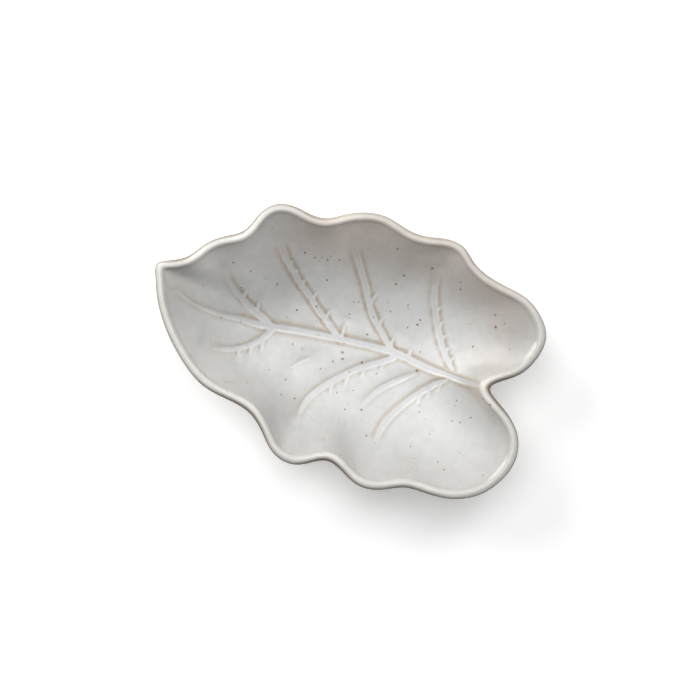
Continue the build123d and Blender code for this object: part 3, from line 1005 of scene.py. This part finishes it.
def glaze_material(name):
    """Satin off-white glaze, bluish in the veins, brown beside them and specked."""
    shader = Shader(name)
    past_lip = shader.field("past_lip_mm")
    warm_shaded_side = warm_shaded_side_share(shader)
    colour = with_veins(shader, wall_and_lip(shader, past_lip, warm_shaded_side), past_lip, warm_shaded_side)
    colour = with_specks(shader, with_tones(shader, colour))
    satin = shader.product(shader.cloudy(*satin_roughness), shader.climb(past_lip, *lip_gloss_climb))
    shader.surface.inputs["IOR"].default_value = glaze_refraction
    return shader.complete(colour, satin, *glaze_ripples)


def clay_material(name):
    """Bare fired stoneware with a sandy grain and dark flecks."""
    shader = Shader(name)
    colour = shader.mix(shader.cloudy(*clay_clouds), clay_colour, clay_dark_colour)
    colour = with_dust(shader, colour, speck_colour, *clay_flecks)
    return shader.complete(colour, shader.cloudy(*clay_roughness), *clay_sand)


grid_on_wall = wall_grid()
speck_points = seen_on_inside(speck_pixels)
vein_strips = strips()
wedge_strips = wedges()
coat, pools = glaze_pieces()
coat.data.materials.append(glaze_material("satin_glaze"))
pools.data.materials.append(glaze_material("pooled_glaze"))
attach(coat, "root")
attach(pools, "root")
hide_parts("glaze_coat")
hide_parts("vein_glaze")
bare_clay = clay_material("bare_clay")
for node in ("clay_body", "foot_ring"):
    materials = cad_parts[node].data.materials
    materials.clear()
    materials.append(bare_clay)

# Floor: a wide pale plane under the foot, with light of its own for the camera alone, which makes it white
floor_half = 4.0
floor_lift = 0.32
floor_roughness = 0.9
floor_colour = (250, 250, 250)
floor_mesh = bpy.data.meshes.new("floor")
floor_corners = [(x * floor_half, y * floor_half, 0) for x, y in ((-1, -1), (1, -1), (1, 1), (-1, 1))]
floor_mesh.from_pydata(floor_corners, [], [(0, 1, 2, 3)])
floor = add_object("floor", floor_mesh)
floor_shader = Shader("floor_white")
floor_inputs = floor_shader.surface.inputs
floor_shader.put(floor_inputs["Base Color"], floor_colour)
floor_inputs["Roughness"].default_value = floor_roughness
floor_inputs["Emission Color"].default_value = (1, 1, 1, 1)
seen = floor_shader.add("ShaderNodeLightPath", {}).outputs["Is Camera Ray"]
floor_shader.put(floor_inputs["Emission Strength"], floor_shader.product(seen, floor_lift))
floor_mesh.materials.append(floor_shader.material)

# Soft studio light: a faint even light all round, and three large lamps. For each lamp: its name, its tilt
# from overhead and its bearing in degrees, its width in metres and its power in watts.
world_strength = 0.06
lamp_distance = 3.0
lamps = (
    ("overhead", 15, 118, 2.4, 41),
    ("right_window", 50, 53, 1.6, 26),
    ("left_window", 60, 139, 1.7, 53),
)
world = bpy.data.worlds.new("studio")
world.use_nodes = True
world_inputs = world.node_tree.nodes["Background"].inputs
world_inputs["Color"].default_value = (1, 1, 1, 1)
world_inputs["Strength"].default_value = world_strength
bpy.context.scene.world = world


def add_lamp(name, tilt, bearing, size, power):
    """Round lamp tilted from overhead, towards a bearing turned from the photograph's right to its up."""
    data = bpy.data.lights.new(name, "AREA")
    data.shape = "DISK"
    data.size = size
    data.energy = power
    lamp = add_object(name, data)
    tilt, bearing = math.radians(tilt), math.radians(bearing)
    way = photo_right * math.cos(bearing) + photo_up * math.sin(bearing)
    away = Vector((*(way * math.sin(tilt)), math.cos(tilt)))
    lamp.location = away * lamp_distance
    lamp.rotation_mode = "QUATERNION"
    lamp.rotation_quaternion = away.to_track_quat("Z", "Y")


for lamp_settings in lamps:
    add_lamp(*lamp_settings)

# Camera at the photograph's angle, aimed at the point under the middle of its frame
elevation = math.radians(camera_elevation)
back = Vector((*(-photo_up * math.cos(elevation)), math.sin(elevation)))
right = Vector((*photo_right, 0))
up = back.cross(right)
aim = photo_points([(photo_width_px / 2, photo_width_px / 2)])[0]
target = Vector((*aim, dish_height))
camera_data = bpy.data.cameras.new("camera")
camera_data.sensor_width = sensor_width_mm
view_half = pixel_size * photo_width_px / 2
camera_data.lens = sensor_width_mm / 2 * camera_distance / view_half
camera = add_object("camera", camera_data)
camera.matrix_world = Matrix.Translation(target + back * camera_distance) @ Matrix(
    (right, up, back)
).transposed().to_4x4()
bpy.context.scene.camera = camera
bpy.context.scene.view_settings.view_transform = "Standard"
